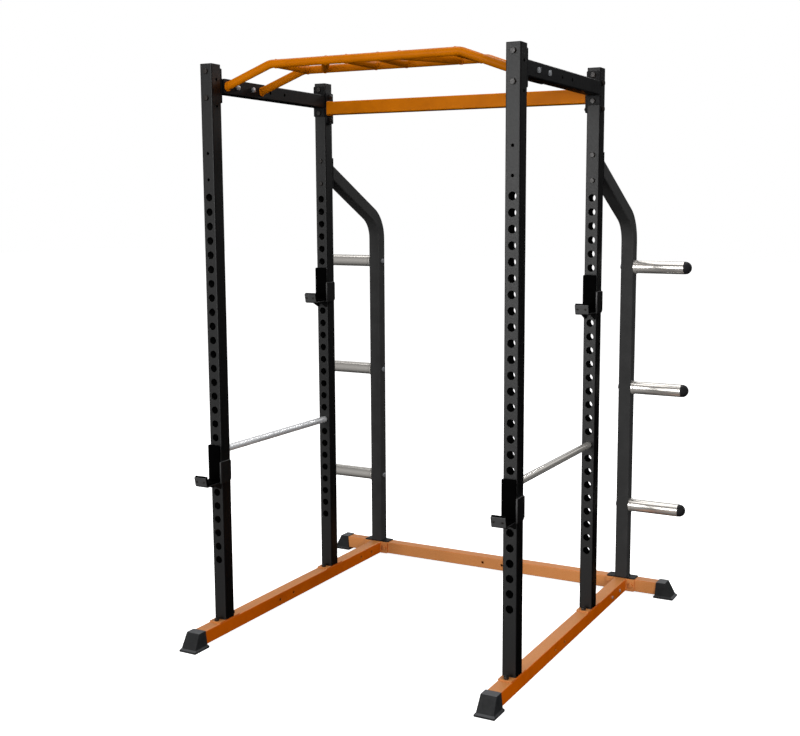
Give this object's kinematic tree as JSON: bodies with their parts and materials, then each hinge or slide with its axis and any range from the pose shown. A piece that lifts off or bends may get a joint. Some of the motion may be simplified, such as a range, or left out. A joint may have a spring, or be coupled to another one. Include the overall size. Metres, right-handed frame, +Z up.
{
  "type": "power cage",
  "caption": "Square-tube power cage with drilled uprights, pin-in bar hooks, two safety rods, a multi-grip pull-up bar and rear plate storage posts.",
  "frame": {"origin": "on the floor, in the middle of the overall footprint", "axes": "+X to the cage's right, +Y to the back where the plate storage is, +Z up; the open side and the hooks face -Y"},
  "size_m": [1.654, 1.3704, 2.051],
  "materials": {
    "orange_paint": "satin orange powder coat",
    "yellow_paint": "glossier yellow-orange powder coat",
    "textured_black_paint": "fine textured charcoal powder coat",
    "black_paint": "satin black powder coat",
    "hook_paint": "satin grey-black powder coat",
    "chrome_plate": "bright chrome plate",
    "zinc_plate": "bright zinc plate",
    "dark_bolt_steel": "oiled black oxide steel",
    "foot_rubber": "matt moulded rubber",
    "cap_plastic": "moulded black plastic",
    "liner_plastic": "smooth black wear plastic"
  },
  "bodies": {
    "frame": {"left_base_rail": "orange_paint", "right_base_rail": "orange_paint", "rear_base_beam": "orange_paint", "rail_rear_flanges": "orange_paint", "upright_foot_plates": "orange_paint", "front_left_upright": "textured_black_paint", "front_right_upright": "textured_black_paint", "rear_left_upright": "textured_black_paint", "rear_right_upright": "textured_black_paint", "upright_top_caps": "cap_plastic", "left_top_tube": "black_paint", "right_top_tube": "black_paint", "top_tube_flanges": "black_paint", "rear_top_beam": "yellow_paint", "rear_top_beam_flanges": "black_paint", "pull_up_front_tube": "yellow_paint", "pull_up_rear_tube": "yellow_paint", "pull_up_straight_grips": "yellow_paint", "pull_up_slant_grips": "yellow_paint", "pull_up_mount_plates": "black_paint", "left_storage_post": "black_paint", "right_storage_post": "black_paint", "storage_post_flanges": "black_paint", "storage_post_base_plates": "black_paint", "left_pegs": "chrome_plate", "right_pegs": "chrome_plate", "peg_collars": "chrome_plate", "peg_end_caps": "cap_plastic", "peg_bolts": "zinc_plate", "front_left_foot": "foot_rubber", "front_right_foot": "foot_rubber", "rear_left_foot": "foot_rubber", "rear_right_foot": "foot_rubber", "top_tube_bolts": "dark_bolt_steel", "rear_top_beam_bolts": "dark_bolt_steel", "storage_post_bolts": "dark_bolt_steel", "pull_up_bolts": "zinc_plate", "foot_plate_bolts": "dark_bolt_steel", "foot_plate_nuts": "zinc_plate", "rail_flange_bolts": "dark_bolt_steel", "post_base_screws": "dark_bolt_steel"},
    "front_left_pin": {"front_left_hook_pin": "zinc_plate"},
    "front_left_hook": {"front_left_hook": "hook_paint", "front_left_hook_liner": "liner_plastic", "front_left_hook_screws": "dark_bolt_steel"},
    "front_right_pin": {"front_right_hook_pin": "zinc_plate"},
    "front_right_hook": {"front_right_hook": "hook_paint", "front_right_hook_liner": "liner_plastic", "front_right_hook_screws": "dark_bolt_steel"},
    "rear_left_pin": {"rear_left_hook_pin": "zinc_plate"},
    "rear_left_hook": {"rear_left_hook": "hook_paint", "rear_left_hook_liner": "liner_plastic", "rear_left_hook_screws": "dark_bolt_steel"},
    "rear_right_pin": {"rear_right_hook_pin": "zinc_plate"},
    "rear_right_hook": {"rear_right_hook": "hook_paint", "rear_right_hook_liner": "liner_plastic", "rear_right_hook_screws": "dark_bolt_steel"},
    "left_safety_rod": {"left_safety_rod": "chrome_plate"},
    "right_safety_rod": {"right_safety_rod": "chrome_plate"}
  },
  "joints": [
    {"name": "front_left_pin_pull", "type": "slide", "parent": "frame", "child": "front_left_pin", "axis": [0, -1, 0], "range_m": [0, 0.06]},
    {"name": "front_left_hook_turn", "type": "hinge", "parent": "front_left_pin", "child": "front_left_hook", "pos_m": [-0.575, -0.49625, 0.687], "axis": [0, -1, 0], "range_deg": [0, 90]},
    {"name": "front_right_pin_pull", "type": "slide", "parent": "frame", "child": "front_right_pin", "axis": [0, -1, 0], "range_m": [0, 0.06]},
    {"name": "front_right_hook_turn", "type": "hinge", "parent": "front_right_pin", "child": "front_right_hook", "pos_m": [0.575, -0.49625, 0.687], "axis": [0, -1, 0], "range_deg": [0, 90]},
    {"name": "rear_left_pin_pull", "type": "slide", "parent": "frame", "child": "rear_left_pin", "axis": [0, -1, 0], "range_m": [0, 0.06]},
    {"name": "rear_left_hook_turn", "type": "hinge", "parent": "rear_left_pin", "child": "rear_left_hook", "pos_m": [-0.575, 0.21075, 1.287], "axis": [0, -1, 0], "range_deg": [0, 90]},
    {"name": "rear_right_pin_pull", "type": "slide", "parent": "frame", "child": "rear_right_pin", "axis": [0, -1, 0], "range_m": [0, 0.06]},
    {"name": "rear_right_hook_turn", "type": "hinge", "parent": "rear_right_pin", "child": "rear_right_hook", "pos_m": [0.575, 0.21075, 1.287], "axis": [0, -1, 0], "range_deg": [0, 90]},
    {"name": "left_safety_rod_slide", "type": "slide", "parent": "frame", "child": "left_safety_rod", "axis": [0, 1, 0], "range_m": [0, 0.12]},
    {"name": "right_safety_rod_slide", "type": "slide", "parent": "frame", "child": "right_safety_rod", "axis": [0, 1, 0], "range_m": [0, 0.12]}
  ]
}
